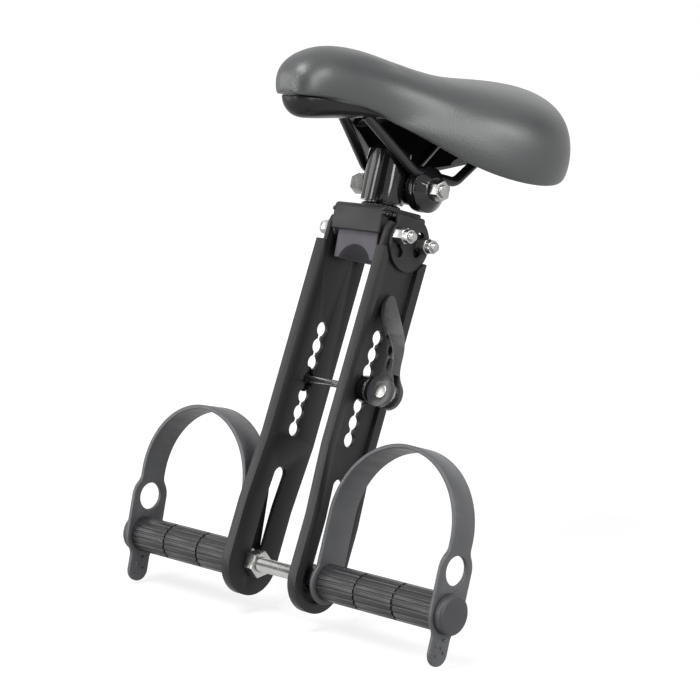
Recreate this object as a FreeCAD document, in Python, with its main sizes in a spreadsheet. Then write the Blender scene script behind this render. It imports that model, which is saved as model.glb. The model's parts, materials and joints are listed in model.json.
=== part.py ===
import FreeCAD
import Part
import math
import os
import re

# Child bike seat that clamps over the top tube of an adult bicycle.
# Millimetres. The origin is on the axis of the top tube, under the cradle.
# +Z is up, -Y is forward (the saddle's nose), +X is the rider's left.

doc = FreeCAD.newDocument("child_bike_seat")
sheet = doc.addObject("Spreadsheet::Sheet", "Sizes")

# Driving dimensions: word, value, meaning
DIMENSIONS = [
    ("head_tilt", 14.5, "slope of the top tube, and so of the head, from level"),
    ("leg_tilt", 22.5, "lean of the legs from upright, feet forward"),
    ("arch_radius", 16.0, "radius of the cradle's arch, for a 32 mm top tube"),
    ("cradle_width", 38.0, "cradle across the bike"),
    ("cradle_length", 36.0, "cradle along the top tube"),
    ("cradle_foot", 6.0, "height of the cradle's feet over the tube's axis"),
    ("pivot_height", 24.5, "height of the leg pivot over the tube's axis"),
    ("plate", 3.0, "sheet thickness of the head's plates"),
    ("yoke_base", 38.5, "underside of the yoke's cross plate over the tube's axis"),
    ("yoke_length", 38.0, "yoke's cross plate along the tube"),
    ("neck_width", 26.0, "width of a yoke cheek where it leaves the cross plate"),
    ("cheek_radius", 19.4, "radius of a yoke cheek"),
    ("cheek_set_back", 2.0, "distance of a cheek's middle behind the pivot"),
    ("cheek_drop", 2.3, "distance of a cheek's middle below the pivot"),
    ("cheek_room", 0.4, "room between a cheek and the leg's rims over the tilt"),
    ("apron_width", 45.5, "width of the cover plate and its front apron"),
    ("apron_front", 22.0, "distance of the apron's face ahead of the pivot"),
    ("apron_drop", 19.0, "height of the front apron"),
    ("cover_back", 21.0, "distance of the cover plate's rear edge behind the pivot"),
    ("bend_radius", 3.5, "outer radius of the folded edges"),
    ("corner_radius", 6.0, "radius of the cover plate's rear corners"),
    ("joint_gap", 0.2, "clearance between flat faces that turn or slide"),
    ("leg_gap", 50.0, "clear width between the legs"),
    ("web", 3.2, "thickness of a leg's web"),
    ("leg_depth", 7.5, "depth of a leg over its rims"),
    ("leg_width", 46.0, "width of a leg"),
    ("rim", 7.0, "width of a leg's rim"),
    ("rim_drop", 10.5, "distance of the rims' upper ends below the pivot"),
    ("web_head_radius", 20.5, "radius of the web's head about the pivot"),
    ("web_head_rise", 8.0, "height of the web's flat top over the pivot"),
    ("joggle", 3.6, "sideways set of a leg's lower part, away from the bike"),
    ("joggle_start", 150.0, "distance below the pivot where the set starts"),
    ("joggle_end", 198.0, "distance below the pivot where the set ends"),
    ("bolt_spread", 24.0, "distance between the two tilt bolts"),
    ("tilt_bolt_radius", 3.0, "radius of a tilt bolt"),
    ("tilt_bolt_proud", 2.8, "length of a tilt bolt beyond its nut"),
    ("tilt_nut_flats", 10.0, "size across flats of a tilt nut"),
    ("tilt_nut_height", 8.0, "height of a tilt nut's hexagon"),
    ("nut_collar", 4.4, "height of the locking collar on a tilt nut"),
    ("low_bolt_proud", 1.8, "length of a right tilt bolt beyond its nut"),
    ("low_nut_height", 5.0, "height of a right tilt nut's hexagon"),
    ("low_collar", 2.4, "height of the locking collar on a right tilt nut"),
    ("tilt_head_height", 3.6, "height of a tilt bolt's head"),
    ("tilt_head_radius", 5.0, "radius of a tilt bolt's head"),
    ("slot_clearance", 0.4, "room round a tilt bolt in its slot"),
    ("front_slot_start", 163.0, "angle where the front tilt slot starts"),
    ("front_slot_sweep", 70.0, "angle that the front tilt slot spans"),
    ("rear_slot_start", -36.0, "angle where the rear tilt slot starts"),
    ("rear_slot_sweep", 56.0, "angle that the rear tilt slot spans"),
    ("skewer_drop", 106.0, "distance of the skewer below the pivot"),
    ("hole_pitch", 12.0, "pitch of the skewer holes"),
    ("hole_radius", 5.25, "radius of a skewer hole"),
    ("hole_neck", 4.6, "width of the slot that joins the skewer holes"),
    ("skewer_radius", 2.5, "radius of the skewer rod"),
    ("axle_drop", 238.0, "distance of the foot axle below the pivot"),
    ("axle_travel", 63.0, "length that the axle slot leaves for height setting"),
    ("axle_radius", 5.0, "radius of the threaded foot axle"),
    ("axle_clearance", 0.4, "room round the axle in its slot"),
    ("axle_nut_flats", 17.0, "size across flats of an axle nut"),
    ("axle_nut_height", 8.0, "height of an inner axle nut"),
    ("jam_nut_height", 9.4, "height of the left outer axle nut"),
    ("far_inset", 5.0, "how much closer the right peg is to its leg, on a lower nut"),
    ("far_lean", 4.5, "further lean of the right foot strap"),
    ("strap_thick", 3.0, "thickness of a foot strap"),
    ("strap_width", 25.0, "width of a foot strap beside the leg"),
    ("strap_narrow", 19.5, "width of a foot strap on its outer side"),
    ("strap_lean", 4.5, "lean of a foot strap from its leg, forward"),
    ("strap_rise", 100.0, "height of a foot strap's crown over the axle"),
    ("eyelet_radius", 15.5, "radius of the flared ends of a foot strap"),
    ("flare_radius", 8.0, "radius of the curves that lead into a foot strap's flares"),
    ("strap_hole_radius", 9.7, "radius of the large holes in a foot strap"),
    ("strap_hole_pitch", 27.5, "distance between the large holes in a foot strap"),
    ("tail_drop", 26.0, "distance of the tail's end centre below the axle"),
    ("tail_radius", 8.5, "radius of a foot strap's tail"),
    ("peg_length", 103.0, "length of a foot peg"),
    ("peg_radius", 12.5, "radius of a foot peg"),
    ("peg_groove", 1.8, "width of the grooves between a peg's sleeves"),
    ("groove_depth", 1.2, "depth of the grooves between a peg's sleeves"),
    ("flute_count", 18.0, "number of flutes round a peg"),
    ("flute_radius", 1.1, "radius of a peg's flutes"),
    ("flute_depth", 0.6, "depth of a peg's flutes"),
    ("cap_radius", 13.4, "radius of a peg's cap"),
    ("cap_height", 6.5, "height of a peg's cap"),
    ("cap_bevel", 1.4, "bevel round a peg's cap"),
    ("seat_gap", 0.1, "clearance between stacked pieces on the foot axle"),
    ("cam_washer_height", 8.5, "height of the lever's cam washer"),
    ("cam_washer_radius", 9.5, "radius of the lever's cam washer"),
    ("hub_radius", 10.8, "radius of the lever's cam hub"),
    ("hub_width", 12.5, "width of the lever's fork"),
    ("hub_slot", 5.6, "width of the slot in the lever's fork"),
    ("cam_throw", 1.4, "offset of the cam hub from its pin"),
    ("cam_gap", 0.3, "running gap between the cam hub and its washer"),
    ("pin_radius", 5.0, "radius of the lever's barrel pin"),
    ("pin_clearance", 0.05, "running clearance round the barrel pin"),
    ("pin_proud", 0.6, "length of the barrel pin beyond each cheek"),
    ("eye_radius", 7.4, "radius of the skewer's eye"),
    ("eye_width", 5.2, "width of the skewer's eye"),
    ("lever_reach", 66.5, "length of the lever from its pin to its tip"),
    ("lever_width", 11.5, "width of the lever's arm"),
    ("paddle_width", 17.0, "width of the lever's paddle"),
    ("lever_wall", 4.4, "distance of the lever's holes inside its outer face"),
    ("adjuster_height", 12.0, "height of the skewer's adjusting nut"),
    ("adjuster_radius", 9.0, "radius of the skewer's adjusting nut"),
    ("post_radius", 11.1, "outer radius of the seat post, 22.2 mm tube"),
    ("post_wall", 2.0, "wall of the seat post"),
    ("post_height", 40.0, "height of the seat post over the cover plate"),
    ("weld_leg", 2.6, "leg of the weld bead at the post's foot"),
    ("band_radius", 15.0, "outer radius of the saddle clamp's band"),
    ("band_height", 38.0, "height of the saddle clamp's band"),
    ("band_lift", 4.0, "height of the band's foot over the cover plate"),
    ("band_chamfer", 2.5, "chamfer at the band's top"),
    ("band_split", 2.4, "width of the band's split"),
    ("clamp_set_back", 18.5, "distance of the clamp bolt behind the post"),
    ("clamp_lift", 18.0, "height of the clamp bolt over the cover plate"),
    ("ear_radius", 12.0, "radius of the band's ears"),
    ("ear_reach", 17.0, "distance of the ears' faces from the middle"),
    ("tooth_count", 20.0, "number of serrations on an ear's face"),
    ("tooth_depth", 0.9, "depth of the serrations"),
    ("clamp_bolt_radius", 4.0, "radius of the saddle clamp's bolt"),
    ("clamp_bolt_room", 0.3, "room round the clamp bolt in the ears"),
    ("clamp_nut_flats", 13.0, "size across flats of the clamp nut"),
    ("clamp_nut_height", 7.0, "height of the clamp nut"),
    ("clamp_head_height", 8.0, "height of the clamp bolt's head"),
    ("clamp_collar_height", 5.5, "height of the collar under the clamp bolt's head"),
    ("clamp_collar_radius", 7.5, "radius of the collar under the clamp bolt's head"),
    ("clamp_bolt_proud", 1.4, "length of the clamp bolt beyond its nut"),
    ("disc_radius", 16.0, "radius of the rail discs and cups"),
    ("cup_reach", 31.0, "distance of a rail cup's outer face from the middle"),
    ("cup_rim", 25.2, "distance of a rail cup's widest part from the middle"),
    ("cup_taper", 7.0, "loss of radius over a rail cup's dome"),
    ("rail_radius", 3.5, "radius of the saddle rails, 7 mm wire"),
    ("rail_room", 0.05, "sliding clearance round a rail in its cups"),
    ("rail_half_gap", 23.0, "distance of the rails from the middle at the clamp"),
    ("rail_lift", 10.0, "height of the rails over the clamp bolt"),
    ("rail_split", 0.6, "gap between a rail disc and its cup"),
    ("rail_front", -42.0, "place of the rails' front ends along the head"),
    ("rail_front_rise", 29.0, "height of the rails' front ends over their level run"),
    ("rail_run_start", 2.0, "place where the rails' level run starts"),
    ("rail_run_end", 45.0, "place where the rails' level run ends"),
    ("rail_rear", 88.0, "place of the rails' rear ends along the head"),
    ("rail_rear_rise", 46.3, "height of the rails' rear ends over their level run"),
    ("rail_bend", 11.0, "bend radius of the rails"),
    ("saddle_length", 247.0, "length of the saddle"),
    ("saddle_width", 150.0, "width of the saddle"),
    ("saddle_nose", -81.0, "place of the saddle's nose along the bike"),
    ("saddle_level", 57.0, "height of the saddle's lowest edge over the tube's axis"),
    ("foam", 24.0, "thickness of the saddle's padding"),
    ("shell", 3.2, "thickness of the saddle's base"),
    ("tub_depth", 17.0, "depth of the base under the nose"),
    ("rim_tuck", 28.0, "angle by which the cover turns in under its widest line"),
    ("cover_gap", 0.1, "clearance between the saddle's cover and its base"),
]


def fill_sheet():
    for row, (word, value, meaning) in enumerate(DIMENSIONS, start=1):
        sheet.set("A%d" % row, word)
        sheet.set("B%d" % row, str(value))
        sheet.set("C%d" % row, meaning)
        sheet.setAlias("B%d" % row, word)
    doc.recompute()


WORDS = re.compile(r"\b(" + "|".join(word for word, _, _ in DIMENSIONS) + r")\b")
nodes = []


def size(word):
    return float(sheet.get(word))


def bind(piece, **formulas):
    """Tie properties to the sheet. A double underscore stands for a dot."""
    for name, formula in formulas.items():
        tied = WORDS.sub(r"Sizes.\1", formula)
        piece.setExpression(name.replace("__", "."), tied)
    return piece


# Directions of a turned piece's axis
TURNS = {
    "x": FreeCAD.Rotation(FreeCAD.Vector(0, 1, 0), 90),
    "y": FreeCAD.Rotation(FreeCAD.Vector(1, 0, 0), -90),
    "z": FreeCAD.Rotation(),
}


def settle(piece, at):
    x, y, z = at
    return bind(piece, Placement__Base__x=x, Placement__Base__y=y, Placement__Base__z=z)


def rod(name, axis, radius, length, at, angle="360"):
    piece = doc.addObject("Part::Cylinder", name)
    piece.Placement.Rotation = TURNS[axis]
    bind(piece, Radius=radius, Height=length, Angle=angle)
    return settle(piece, at)


def taper(name, axis, radius, far_radius, length, at):
    piece = doc.addObject("Part::Cone", name)
    piece.Placement.Rotation = TURNS[axis]
    bind(piece, Radius1=radius, Radius2=far_radius, Height=length)
    return settle(piece, at)


def block(name, spans, at):
    piece = doc.addObject("Part::Box", name)
    bind(piece, Length=spans[0], Width=spans[1], Height=spans[2])
    return settle(piece, at)


def hexagon(name, flats, height, at):
    """Hexagonal prism along X."""
    piece = doc.addObject("Part::Prism", name)
    piece.Polygon = 6
    piece.Placement.Rotation = TURNS["x"]
    bind(piece, Circumradius="(%s) / sqrt(3)" % flats, Height=height)
    return settle(piece, at)


def fuse(name, pieces):
    joined = doc.addObject("Part::MultiFuse", name)
    joined.Shapes = pieces
    joined.Refine = True
    return joined


def cut(name, base, tools):
    result = doc.addObject("Part::Cut", name)
    result.Base = base
    result.Tool = tools[0] if len(tools) == 1 else fuse(name + "_tools", tools)
    result.Refine = True
    return result


def common(name, first, second):
    result = doc.addObject("Part::Common", name)
    result.Base = first
    result.Tool = second
    return result


def group(name, pieces):
    """Separate solids that share one node."""
    result = doc.addObject("Part::Compound", name)
    result.Links = pieces
    return result


def mirrored(name, source):
    """The same piece on the other side of the bike."""
    doc.recompute()
    result = doc.addObject("Part::Mirroring", name)
    result.Source = source
    result.Normal = FreeCAD.Vector(1, 0, 0)
    return result


def solid(name, shape):
    piece = doc.addObject("Part::Feature", name)
    piece.Shape = shape
    return piece


def node(piece, name, frame):
    """Name a finished piece and set it in its frame."""
    piece.Label = name
    piece.Placement = frame
    nodes.append(piece)
    return piece


def pair(piece, name, frame):
    """A finished piece on the left, and its mirror image on the right."""
    node(piece, name + "_left", frame)
    right = mirrored(name + "_mirror", piece)
    right.Label = name + "_right"
    nodes.append(right)


def pair_inset(piece, name, frame, lean=0.0):
    """A pair whose right piece sits closer to its leg, and may lean about the foot axle."""
    node(piece, name + "_left", frame)
    right = group(name + "_inset", [mirrored(name + "_mirror", piece)])
    axle = frame.multVec(FreeCAD.Vector(0, 0, -size("axle_drop")))
    turn = FreeCAD.Rotation(FreeCAD.Vector(1, 0, 0), lean)
    inset = FreeCAD.Vector(size("far_inset"), 0, 0)
    node(right, name + "_right", FreeCAD.Placement(axle - turn.multVec(axle) + inset, turn))


def frames():
    """The head leans with the tube, and the legs lean about the pivot."""
    side = FreeCAD.Vector(1, 0, 0)
    head = FreeCAD.Placement(FreeCAD.Vector(), FreeCAD.Rotation(side, -size("head_tilt")))
    pivot = head.multVec(FreeCAD.Vector(0, 0, size("pivot_height")))
    legs = FreeCAD.Placement(pivot, FreeCAD.Rotation(side, -size("leg_tilt")))
    return head, legs


def edges_near(shape, test):
    """Numbers of the edges whose middle passes a test."""
    found = []
    for number, edge in enumerate(shape.Edges, start=1):
        middle = edge.valueAt((edge.FirstParameter + edge.LastParameter) / 2)
        if test(edge, middle):
            found.append(number)
    return found


def rounded(name, base, test, radius):
    doc.recompute()
    piece = doc.addObject("Part::Fillet", name)
    piece.Base = base
    piece.Edges = [(number, radius, radius) for number in edges_near(base.Shape, test)]
    return piece


def is_close(first, second):
    return abs(first - second) < 1e-4


# Head: cradle, yoke with its cheeks, cover plate with its apron, post

CHEEK_INNER = "(leg_gap / 2 + web + joint_gap)"
CHEEK_OUTER = "(leg_gap / 2 + web + joint_gap + plate)"
COVER_TOP = "(yoke_base + plate * 2)"


def make_cradle(head):
    body = block(
        "cradle_block",
        ("cradle_width", "cradle_length", "yoke_base - cradle_foot"),
        ("-cradle_width / 2", "-cradle_length / 2", "cradle_foot"),
    )
    arch = rod(
        "cradle_arch", "y", "arch_radius", "cradle_length + 2", ("0", "-cradle_length / 2 - 1", "0")
    )
    node(cut("cradle", body, [arch]), "tube_cradle", head)


def tilt_slot(name, start, sweep):
    """Arc slot about the pivot through both cheeks, for one tilt bolt."""
    reach = "bolt_spread / 2"
    half = "tilt_bolt_radius + slot_clearance"
    span = "2 * %s + 2" % CHEEK_OUTER
    left = "-%s - 1" % CHEEK_OUTER
    sector = rod(name + "_sector", "x", reach + " + " + half, span, (left, "0", "pivot_height"), sweep)
    turn = FreeCAD.Rotation(FreeCAD.Vector(1, 0, 0), size(start) + 90)
    sector.Placement.Rotation = turn * TURNS["x"]
    core = rod(name + "_core", "x", "%s - (%s)" % (reach, half), span, (left, "0", "pivot_height"))
    band = cut(name + "_band", sector, [core])
    ends = []
    for index, angle in enumerate([start, "%s + %s" % (start, sweep)]):
        place = (
            left,
            "%s * cos(%s)" % (reach, angle),
            "pivot_height + %s * sin(%s)" % (reach, angle),
        )
        ends.append(rod("%s_end%d" % (name, index), "x", half, span, place))
    return fuse(name, [band] + ends)


def make_yoke(head):
    cross = block(
        "yoke_cross",
        ("2 * " + CHEEK_OUTER, "neck_width", "plate"),
        ("-" + CHEEK_OUTER, "-neck_width / 2", "yoke_base"),
    )
    middle = block(
        "yoke_middle",
        ("apron_width", "yoke_length", "plate"),
        ("-apron_width / 2", "-yoke_length / 2", "yoke_base"),
    )
    pieces = [cross, middle]
    low = "(pivot_height - cheek_drop)"
    for side, near in (("left", CHEEK_INNER), ("right", "-" + CHEEK_OUTER)):
        disc = rod("cheek_disc_" + side, "x", "cheek_radius", "plate", (near, "cheek_set_back", low))
        neck = block(
            "cheek_neck_" + side,
            ("plate", "neck_width", "yoke_base + plate - " + low),
            (near, "-neck_width / 2", low),
        )
        pieces += [disc, neck]
    slots = [
        tilt_slot("front_slot", "front_slot_start", "front_slot_sweep"),
        tilt_slot("rear_slot", "rear_slot_start", "rear_slot_sweep"),
    ]
    above = block(
        "yoke_above",
        ("2 * %s + 2" % CHEEK_OUTER, "cheek_radius * 2 + 2", "cheek_radius"),
        ("-%s - 1" % CHEEK_OUTER, "-cheek_radius - 1", "yoke_base + plate"),
    )
    blank = cut("yoke_blank", fuse("yoke_plates", pieces), slots + [above])
    top = size("yoke_base") + size("plate")
    outer = size("leg_gap") / 2 + size("web") + size("joint_gap") + size("plate")

    def fold(edge, middle):
        along = is_close(abs(middle.x), outer) and is_close(middle.z, top)
        return along and edge.Length > size("neck_width") / 2

    node(rounded("yoke", blank, fold, size("bend_radius") - 1), "yoke_bracket", head)


def make_cover_plate(head):
    sheet_plate = block(
        "cover_sheet",
        ("apron_width", "apron_front + cover_back", "plate"),
        ("-apron_width / 2", "-apron_front", "yoke_base + plate"),
    )
    apron = block(
        "cover_apron",
        ("apron_width", "plate", "apron_drop"),
        ("-apron_width / 2", "-apron_front", COVER_TOP + " - apron_drop"),
    )
    blank = fuse("cover_blank", [sheet_plate, apron])
    top = size("yoke_base") + 2 * size("plate")

    def fold(edge, middle):
        return is_close(middle.y, -size("apron_front")) and is_close(middle.z, top)

    def corner(edge, middle):
        rear = is_close(middle.y, size("cover_back")) and is_close(edge.Length, size("plate"))
        return rear and is_close(abs(middle.x), size("apron_width") / 2)

    folded = rounded("cover_folded", blank, fold, size("bend_radius"))
    node(rounded("cover", folded, corner, size("corner_radius")), "cover_plate", head)


def make_post(head):
    tube = rod("post_tube", "z", "post_radius", "post_height", ("0", "0", COVER_TOP))
    bore = rod(
        "post_bore", "z", "post_radius - post_wall", "post_height + 2", ("0", "0", COVER_TOP + " - 1")
    )
    node(cut("post", tube, [bore]), "seat_post", head)
    bead = taper(
        "bead_cone", "z", "post_radius + weld_leg", "post_radius + weld_leg / 4", "weld_leg",
        ("0", "0", COVER_TOP),
    )
    room = rod("bead_room", "z", "post_radius", "weld_leg + 2", ("0", "0", COVER_TOP + " - 1"))
    node(cut("bead", bead, [room]), "post_weld", head)


# Saddle clamp: split band, serrated ears, rail discs and cups, bolt and nut

CLAMP_Y = "clamp_set_back"
CLAMP_Z = "(yoke_base + plate * 2 + clamp_lift)"
RAIL_Z = "(yoke_base + plate * 2 + clamp_lift + rail_lift)"


def serrations(name, face, towards):
    """Radial notches in an ear's face, round the clamp bolt."""
    notches = []
    count = int(size("tooth_count"))
    step = 360.0 / count
    width = math.pi * size("ear_radius") / count * 0.9
    centre = FreeCAD.Vector(
        0, size("clamp_set_back"), size("yoke_base") + 2 * size("plate") + size("clamp_lift")
    )
    for index in range(count):
        notch = doc.addObject("Part::Box", "%s_notch%d" % (name, index))
        bind(notch, Length="tooth_depth * 2", Height="ear_radius / 2")
        notch.Width = width
        turn = FreeCAD.Rotation(FreeCAD.Vector(1, 0, 0), index * step)
        corner = FreeCAD.Vector(
            towards * size(face) - size("tooth_depth"), -width / 2, size("ear_radius") * 0.7
        )
        notch.Placement = FreeCAD.Placement(centre + turn.multVec(corner), turn)
        notches.append(notch)
    return fuse(name, notches)


def make_band(head):
    foot = COVER_TOP + " + band_lift"
    straight = rod("band_straight", "z", "band_radius", "band_height - band_chamfer", ("0", "0", foot))
    shoulder = taper(
        "band_shoulder", "z", "band_radius", "band_radius - band_chamfer", "band_chamfer",
        ("0", "0", foot + " + band_height - band_chamfer"),
    )
    ears = rod("band_ears", "x", "ear_radius", "ear_reach * 2", ("-ear_reach", CLAMP_Y, CLAMP_Z))
    bore = rod("band_bore", "z", "post_radius", "band_height + 2", ("0", "0", foot + " - 1"))
    split = block(
        "band_gap",
        ("band_split", "clamp_set_back + ear_radius + 1", "band_height + 2"),
        ("-band_split / 2", "0", foot + " - 1"),
    )
    bolt_room = rod(
        "ear_room", "x", "clamp_bolt_radius + clamp_bolt_room", "ear_reach * 2 + 2",
        ("-ear_reach - 1", CLAMP_Y, CLAMP_Z),
    )
    teeth = [serrations("left_teeth", "ear_reach", 1), serrations("right_teeth", "ear_reach", -1)]
    band = cut("band", fuse("band_blank", [straight, shoulder, ears]), [bore, split, bolt_room] + teeth)
    node(band, "clamp_band", head)


def make_rail_clamp(head):
    """Inner disc, outer cup, and the bolt that squeezes both pairs on the rails."""
    inner = "ear_reach + joint_gap"
    middle = "rail_half_gap"
    hole = rod(
        "disc_hole", "x", "clamp_bolt_radius", "cup_reach + 2", ("0", CLAMP_Y, CLAMP_Z)
    )
    groove = rod(
        "disc_groove", "y", "rail_radius + rail_room", "disc_radius * 2 + 2",
        ("rail_half_gap", CLAMP_Y + " - disc_radius - 1", RAIL_Z),
    )
    disc = rod(
        "disc_blank", "x", "disc_radius", "%s - rail_split / 2 - (%s)" % (middle, inner),
        (inner, CLAMP_Y, CLAMP_Z),
    )
    pair(cut("disc", disc, [hole, groove]), "rail_disc", head)

    start = middle + " + rail_split / 2"
    drum = rod("cup_drum", "x", "disc_radius", "cup_rim - (%s)" % start, (start, CLAMP_Y, CLAMP_Z))
    dome = taper(
        "cup_dome", "x", "disc_radius", "disc_radius - cup_taper", "cup_reach - cup_rim",
        ("cup_rim", CLAMP_Y, CLAMP_Z),
    )
    cup_hole = rod("cup_hole", "x", "clamp_bolt_radius", "cup_reach + 2", ("0", CLAMP_Y, CLAMP_Z))
    cup_groove = rod(
        "cup_groove", "y", "rail_radius + rail_room", "disc_radius * 2 + 2",
        ("rail_half_gap", CLAMP_Y + " - disc_radius - 1", RAIL_Z),
    )
    cup = cut("cup", fuse("cup_blank", [drum, dome]), [cup_hole, cup_groove])
    pair(cup, "rail_cup", head)

    shank = rod(
        "clamp_shank", "x", "clamp_bolt_radius", "2 * cup_reach + clamp_nut_height + clamp_bolt_proud",
        ("-cup_reach", CLAMP_Y, CLAMP_Z),
    )
    collar = rod(
        "clamp_collar", "x", "clamp_collar_radius", "clamp_collar_height",
        ("-cup_reach - clamp_collar_height", CLAMP_Y, CLAMP_Z),
    )
    bolt_head = hexagon(
        "clamp_head", "clamp_nut_flats", "clamp_head_height",
        ("-cup_reach - clamp_collar_height - clamp_head_height", CLAMP_Y, CLAMP_Z),
    )
    node(fuse("clamp_screw", [shank, collar, bolt_head]), "clamp_bolt", head)
    nut = hexagon("clamp_hex", "clamp_nut_flats", "clamp_nut_height", ("cup_reach", CLAMP_Y, CLAMP_Z))
    thread = rod(
        "clamp_thread", "x", "clamp_bolt_radius", "clamp_nut_height + 2",
        ("cup_reach - 1", CLAMP_Y, CLAMP_Z),
    )
    node(cut("clamp_nut_cut", nut, [thread]), "clamp_nut", head)


# Legs: rimmed plates with a head, skewer holes and an axle slot

WEB_OUTER = "(leg_gap / 2 + web)"
FOOT_INNER = "(leg_gap / 2 + joggle)"
FOOT_OUTER = "(leg_gap / 2 + joggle + web)"


def stepped_prism(name, near, far, top):
    """Upright plate along Y whose lower part is set outward by the joggle."""
    set_out = size("joggle")
    low = -size("axle_drop") - size("leg_width")
    bends = [(0, top), (0, -size("joggle_start")), (set_out, -size("joggle_end")), (set_out, low)]
    outline = doc.addObject("Part::Polygon", name + "_outline")
    outline.Nodes = [FreeCAD.Vector(near + shift, -size("leg_width") / 2, z) for shift, z in bends] + [
        FreeCAD.Vector(far + shift, -size("leg_width") / 2, z) for shift, z in reversed(bends)
    ]
    outline.Close = True
    prism = doc.addObject("Part::Extrusion", name)
    prism.Base = outline
    prism.DirMode = "Custom"
    prism.Dir = FreeCAD.Vector(0, 1, 0)
    prism.Solid = True
    return bind(prism, LengthFwd="leg_width")


def leg_plan(name, half):
    """Straight sides and a round toe, wide enough across the bike to trim a leg."""
    sides = block(
        name + "_sides", ("leg_depth * 4", "2 * (%s)" % half, "axle_drop"),
        ("leg_gap / 2 - leg_depth", "-(%s)" % half, "-axle_drop"),
    )
    toe = rod(name + "_toe", "x", half, "leg_depth * 4", ("leg_gap / 2 - leg_depth", "0", "-axle_drop"))
    return fuse(name, [sides, toe])


def make_legs(legs):
    inner = "leg_gap / 2"
    face = size("leg_gap") / 2
    top = -size("rim_drop")
    bar = common(
        "leg_bar", stepped_prism("leg_side", face, face + size("leg_depth"), top),
        leg_plan("leg_plan", "leg_width / 2"),
    )
    head_disc = rod("leg_head", "x", "web_head_radius", "web", (inner, "0", "0"))
    flat = block(
        "leg_flat", ("web", "web_head_radius * 2", "rim_drop + web_head_rise"),
        (inner, "-web_head_radius", "-rim_drop"),
    )
    head_plate = common("leg_head_plate", head_disc, flat)
    shoulder = block(
        "leg_shoulder", ("web", "web_head_radius * 2", "rim_drop"),
        (inner, "-web_head_radius", "-rim_drop"),
    )
    tray = common(
        "leg_tray",
        stepped_prism("tray_side", face + size("web"), face + size("leg_depth") * 2, top + size("rim")),
        leg_plan("tray_plan", "leg_width / 2 - rim"),
    )
    # The rims stop short of the cheek, wherever the leg is tilted
    relief = rod(
        "rim_relief", "x", "cheek_radius + cheek_room + sqrt(cheek_set_back ^ 2 + cheek_drop ^ 2)",
        "leg_depth", (WEB_OUTER, "0", "0"),
    )
    blank = cut("leg_blank", fuse("leg_plates", [bar, head_plate, shoulder]), [tray, relief])
    through = "web + joggle + 2"
    before = "leg_gap / 2 - 1"
    tools = []
    for step in range(-3, 4):
        place = (before, "0", "-skewer_drop + hole_pitch * %d" % step)
        tools.append(rod("skewer_hole%d" % (step + 3), "x", "hole_radius", through, place))
    tools.append(
        block(
            "skewer_neck", (through, "hole_neck", "hole_pitch * 6"),
            (before, "-hole_neck / 2", "-skewer_drop - hole_pitch * 3"),
        )
    )
    for name, drop in (("low", "-axle_drop"), ("high", "-axle_drop + axle_travel")):
        tools.append(
            rod("axle_slot_" + name, "x", "axle_radius + axle_clearance", through, (before, "0", drop))
        )
    tools.append(
        block(
            "axle_slot", (through, "2 * (axle_radius + axle_clearance)", "axle_travel"),
            (before, "-axle_radius - axle_clearance", "-axle_drop"),
        )
    )
    for name, place in (("front", "-bolt_spread / 2"), ("rear", "bolt_spread / 2")):
        tools.append(rod("bolt_hole_" + name, "x", "tilt_bolt_radius", through, (before, place, "0")))
    pair(cut("leg", blank, tools), "leg", legs)


def tilt_fasteners(side, hex_height, collar_height, proud):
    """Two bolts with locking nuts, as they stand on the left."""
    bolts = []
    nuts = []
    seat = "(%s + joint_gap)" % CHEEK_OUTER
    for end, place in (("front", "-bolt_spread / 2"), ("rear", "bolt_spread / 2")):
        name = side + "_" + end
        length = "%s + %s + %s + %s - leg_gap / 2" % (seat, hex_height, collar_height, proud)
        shank = rod("tilt_shank_" + name, "x", "tilt_bolt_radius", length, ("leg_gap / 2", place, "0"))
        button = taper(
            "tilt_button_" + name, "x", "tilt_head_radius * 0.7", "tilt_head_radius",
            "tilt_head_height", ("leg_gap / 2 - tilt_head_height", place, "0"),
        )
        bolts.append(fuse("tilt_bolt_" + name, [shank, button]))
        nut = hexagon("tilt_hex_" + name, "tilt_nut_flats", hex_height, (seat, place, "0"))
        collar = rod(
            "tilt_collar_" + name, "x", "tilt_nut_flats / 2 - 0.3", collar_height,
            ("%s + %s" % (seat, hex_height), place, "0"),
        )
        thread = rod(
            "tilt_thread_" + name, "x", "tilt_bolt_radius", "%s + %s + 2" % (hex_height, collar_height),
            (seat + " - 1", place, "0"),
        )
        nuts.append(cut("tilt_nut_" + name, fuse("tilt_lock_" + name, [nut, collar]), [thread]))
    return group("bolts_" + side, bolts), group("nuts_" + side, nuts)


def make_tilt_fasteners(legs):
    """Each leg is held to its cheek by two bolts, and the right ones are lower."""
    bolts, nuts = tilt_fasteners("left", "tilt_nut_height", "nut_collar", "tilt_bolt_proud")
    node(bolts, "tilt_bolts_left", legs)
    node(nuts, "tilt_nuts_left", legs)
    bolts, nuts = tilt_fasteners("right", "low_nut_height", "low_collar", "low_bolt_proud")
    for piece, name in ((bolts, "tilt_bolts_right"), (nuts, "tilt_nuts_right")):
        piece.Placement = legs
        right = mirrored(name + "_mirror", piece)
        right.Label = name
        nodes.append(right)


# Quick release: skewer, barrel pin, cam washer, lever and adjusting nut

PIN_X = "(leg_gap / 2 + web + cam_washer_height + cam_gap + hub_radius + cam_throw)"


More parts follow.
